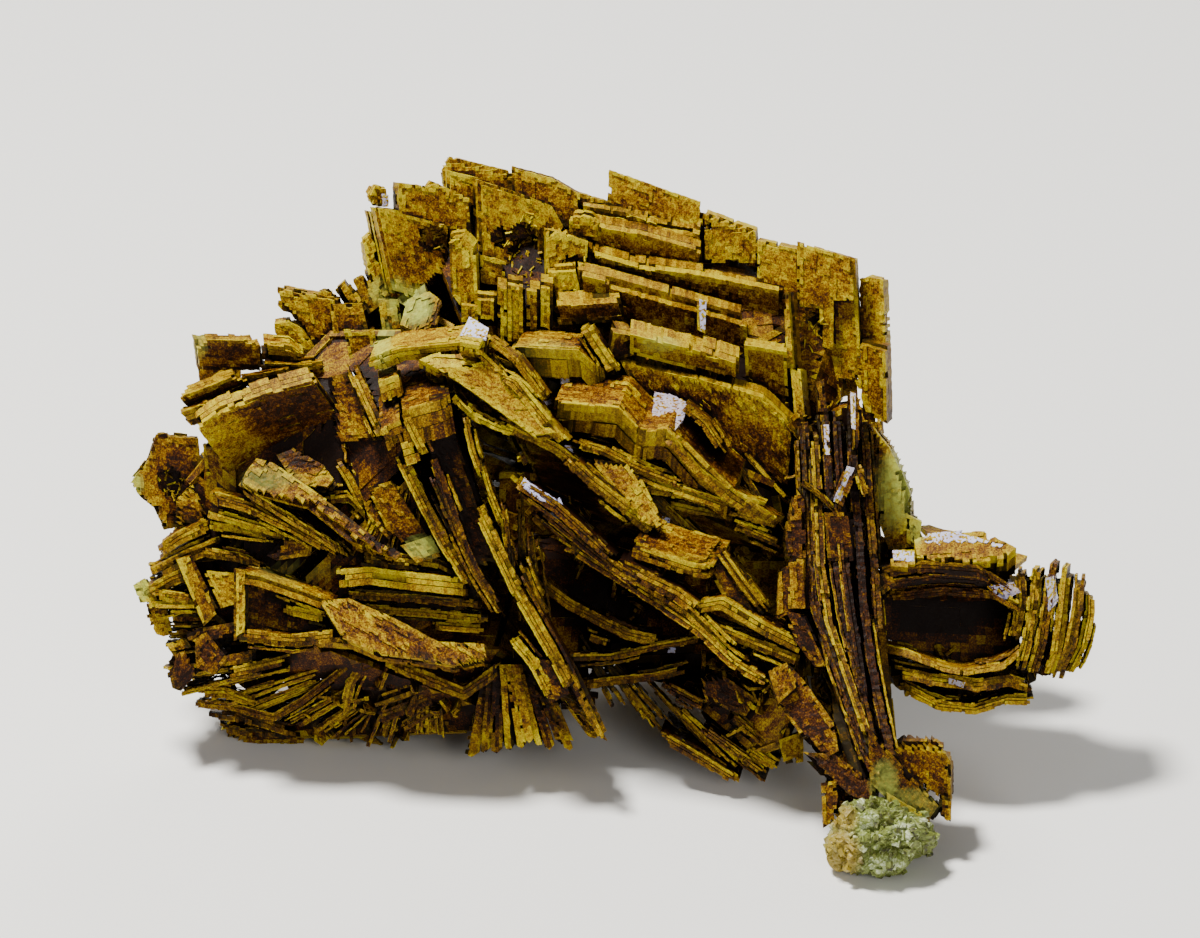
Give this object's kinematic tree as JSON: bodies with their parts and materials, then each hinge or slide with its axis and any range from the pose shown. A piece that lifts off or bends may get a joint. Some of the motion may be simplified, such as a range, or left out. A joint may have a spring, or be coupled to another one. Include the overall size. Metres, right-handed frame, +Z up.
{
  "type": "barite specimen",
  "caption": "Upright cluster of golden tabular barite crystals in stepped stacks, fans and a rosette, standing on its base, back crystals and a small pale matrix knob.",
  "frame": {"origin": "centre of the bounding box's bottom, on the surface the specimen stands on", "axes": "+X to the right along the longest extent, -Y towards the viewer of the picture, +Z up"},
  "size_m": [0.1204, 0.0716, 0.0664],
  "materials": {
    "barite": "opaque golden brown crystal faces with a fine sugary coating and dark crevices",
    "pale_matrix": "pale green to white granular crust"
  },
  "bodies": {
    "root": {"barite_crystals": "barite", "matrix_knob": "pale_matrix"}
  },
  "joints": []
}
